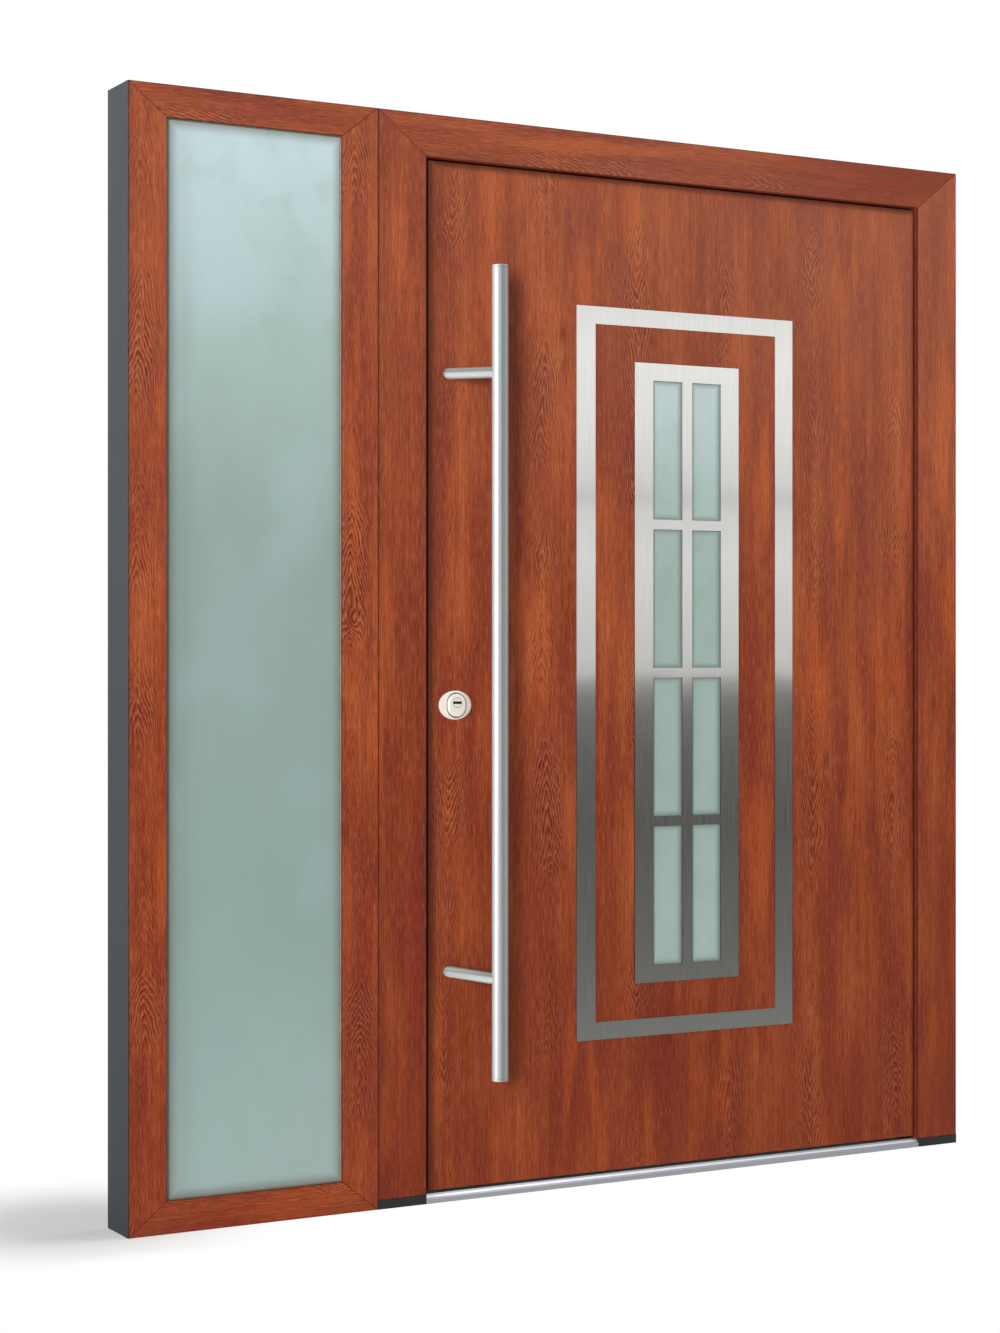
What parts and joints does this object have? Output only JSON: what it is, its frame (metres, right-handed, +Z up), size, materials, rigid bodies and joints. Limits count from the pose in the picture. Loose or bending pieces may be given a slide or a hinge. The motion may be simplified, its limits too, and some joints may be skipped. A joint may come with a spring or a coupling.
{
  "type": "exterior door",
  "caption": "Exterior door with a fixed frosted sidelight, wood-look faces, a steel window grid and a long pull bar; the leaf swings inwards on side hinges.",
  "frame": {"origin": "on the hinge post's wall face, at floor level, half way through the frame's depth", "axes": "+X out of the hinge post's wall face (to the right seen from outside), +Y from outside to inside, +Z up"},
  "size_m": [1.9, 0.2425, 2.1],
  "materials": {
    "wood_foil": "reddish-brown wood-grain foil, satin",
    "leaf_core": "dark grey, matt",
    "black_plastic": "matt",
    "rubber": "matt",
    "stainless_steel": "brushed",
    "aluminium": "satin anodised",
    "frosted_glass": "frosted"
  },
  "bodies": {
    "frame": {"lock_post": "wood_foil", "hinge_post": "wood_foil", "frame_head": "wood_foil", "lock_post_foot": "black_plastic", "hinge_post_foot": "black_plastic", "threshold": "aluminium", "strike_plate": "stainless_steel", "sidelight_wall_stile": "wood_foil", "sidelight_door_stile": "wood_foil", "sidelight_top_rail": "wood_foil", "sidelight_bottom_rail": "wood_foil", "sidelight_outer_pane": "frosted_glass", "sidelight_spacer": "black_plastic", "sidelight_inner_pane": "frosted_glass", "sidelight_left_bead": "wood_foil", "sidelight_right_bead": "wood_foil", "sidelight_top_bead": "wood_foil", "sidelight_bottom_bead": "wood_foil", "lower_hinge_frame_half": "aluminium", "middle_hinge_frame_half": "aluminium", "upper_hinge_frame_half": "aluminium"},
    "leaf": {"leaf_core": "leaf_core", "leaf_outer_skin": "wood_foil", "leaf_inner_skin": "wood_foil", "leaf_drop_seal": "rubber", "leaf_seal": "rubber", "steel_ring": "stainless_steel", "steel_window_grid": "stainless_steel", "leaf_outer_pane": "frosted_glass", "leaf_spacer": "black_plastic", "leaf_inner_pane": "frosted_glass", "leaf_window_liner": "wood_foil", "pull_bar": "stainless_steel", "lower_pull_standoff": "stainless_steel", "upper_pull_standoff": "stainless_steel", "cylinder_rosette": "stainless_steel", "cylinder_shield": "stainless_steel", "inside_lever": "stainless_steel", "lever_rosette": "stainless_steel", "inside_cylinder_rosette": "stainless_steel", "lock_plate": "stainless_steel", "lock_bolts": "stainless_steel", "lower_hinge_leaf_half": "aluminium", "middle_hinge_leaf_half": "aluminium", "upper_hinge_leaf_half": "aluminium"},
    "key_plug": {"key_plug": "stainless_steel"}
  },
  "joints": [
    {"name": "leaf_swing", "type": "hinge", "parent": "frame", "child": "leaf", "pos_m": [-0.08775, 0.0655, 0], "axis": [0, 0, -1], "range_deg": [0, 100]},
    {"name": "key_turn", "type": "hinge", "parent": "leaf", "child": "key_plug", "pos_m": [-1.2255, -0.0475, 0.965], "axis": [0, -1, 0], "continuous": true}
  ]
}
